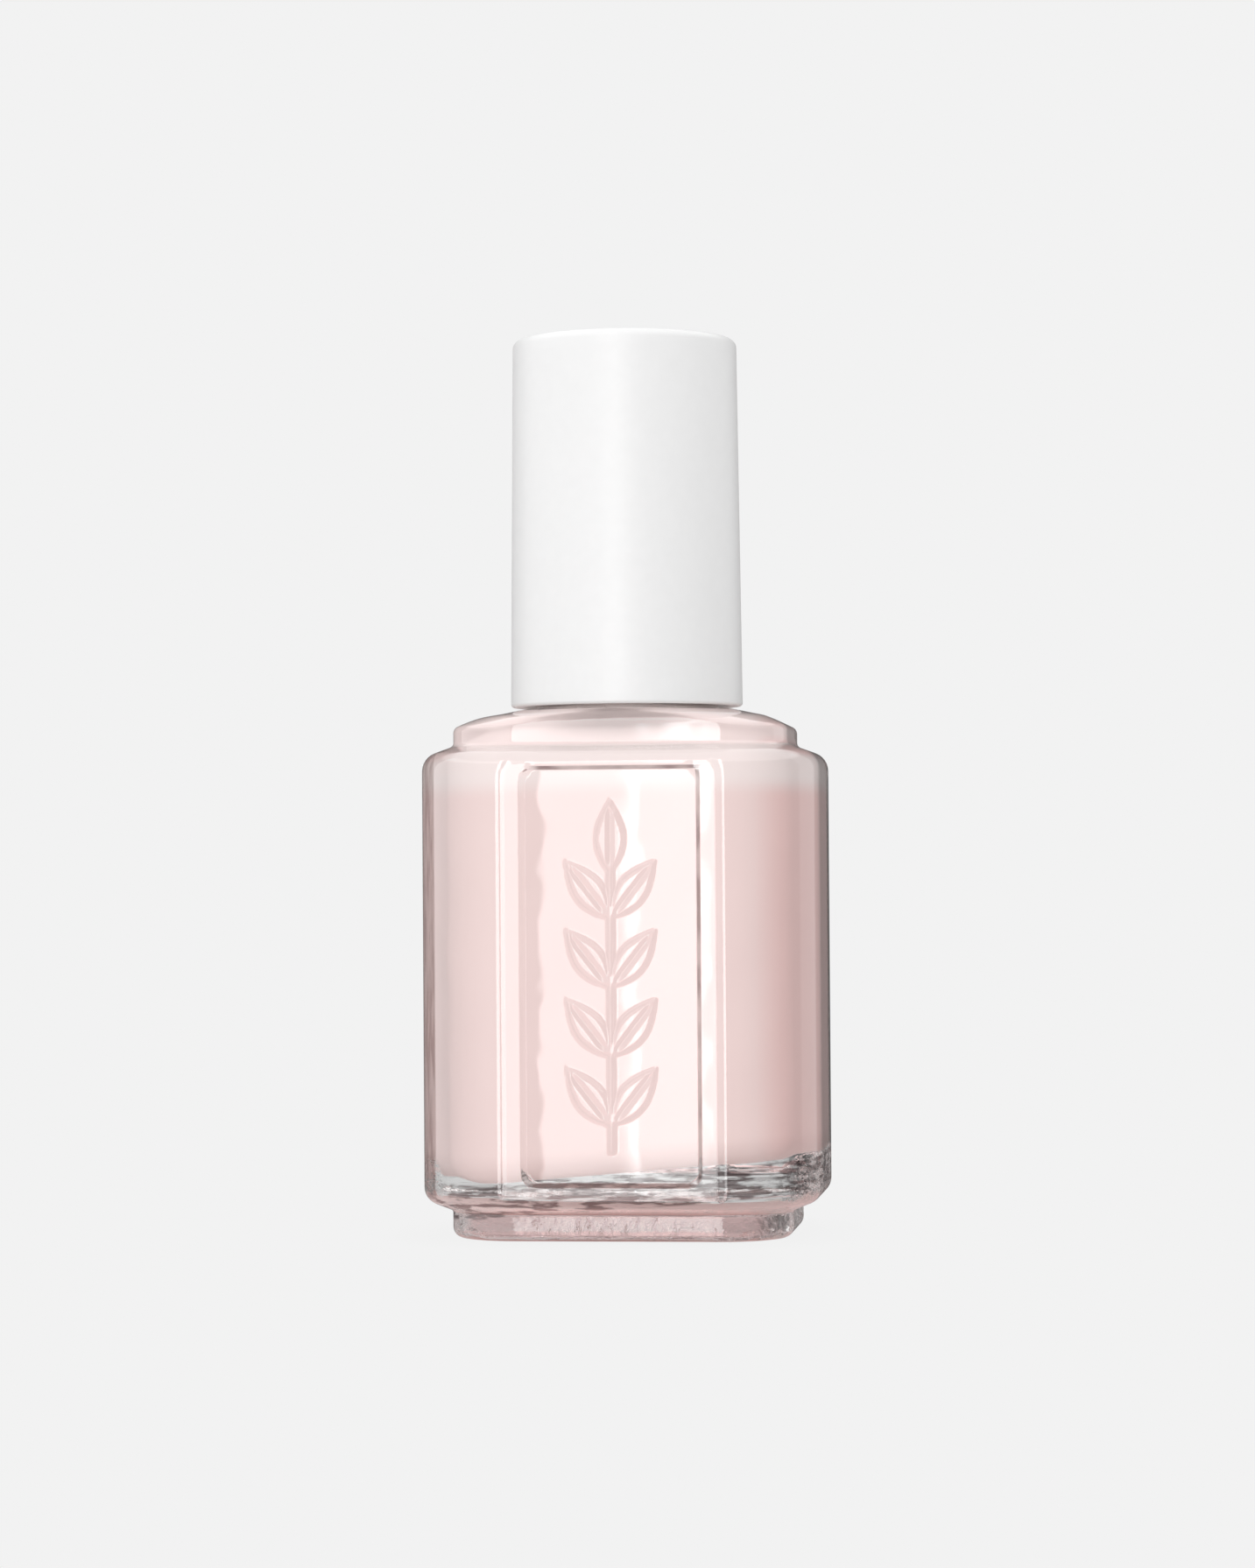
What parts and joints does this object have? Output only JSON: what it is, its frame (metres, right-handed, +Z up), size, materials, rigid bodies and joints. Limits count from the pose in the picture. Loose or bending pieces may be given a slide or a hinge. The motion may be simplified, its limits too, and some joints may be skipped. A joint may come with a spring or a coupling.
{
  "type": "nail polish bottle",
  "caption": "Small glass nail polish bottle with recessed panels, pale pink fill, mixing balls and a tall white screw cap carrying a brush.",
  "frame": {"origin": "centre of the base, on the plane that the bottle stands on", "axes": "+Z up along the neck and cap axis; the decorated front panel faces -Y; the bottle's broad side runs along X"},
  "size_m": [0.0348, 0.0276, 0.0788],
  "materials": {
    "clear_glass": "clear polished flint glass",
    "pink_polish": "opaque glossy nail lacquer",
    "ball_steel": "polished stainless steel",
    "label_film": "satin coated label stock, blank",
    "cap_plastic": "smooth moulded white plastic",
    "inner_cap_plastic": "natural white polypropylene",
    "seal_foam": "soft polyethylene foam",
    "stem_plastic": "satin moulded polyethylene",
    "bristle_nylon": "fine nylon filament",
    "staple_steel": "drawn stainless wire"
  },
  "bodies": {
    "bottle": {"glass_bottle": "clear_glass", "polish": "pink_polish", "back_label": "label_film", "base_label": "label_film"},
    "seal": {"seal_washer": "seal_foam"},
    "cap_and_brush": {"overcap": "cap_plastic", "inner_cap": "inner_cap_plastic", "brush_stem": "stem_plastic", "bristles": "bristle_nylon", "bristle_staple": "staple_steel"},
    "left_ball": {"mixing_ball_left": "ball_steel"},
    "right_ball": {"mixing_ball_right": "ball_steel"}
  },
  "joints": [
    {"name": "cap_lift", "type": "slide", "parent": "bottle", "child": "seal", "axis": [0, 0, 1], "range_m": [0, 0.053]},
    {"name": "cap_unscrew", "type": "hinge", "parent": "seal", "child": "cap_and_brush", "pos_m": [0, 0, 0.06], "axis": [0, 0, 1], "range_deg": [0, 9000]},
    {"name": "left_ball_travel", "type": "slide", "parent": "bottle", "child": "left_ball", "axis": [0, 0, 1], "range_m": [0, 0.03]},
    {"name": "right_ball_travel", "type": "slide", "parent": "bottle", "child": "right_ball", "axis": [0, 0, 1], "range_m": [0, 0.03]}
  ],
  "couplings": [
    {"joint": "cap_lift", "follows": "cap_unscrew", "m_per_rad": 0.0003374}
  ]
}
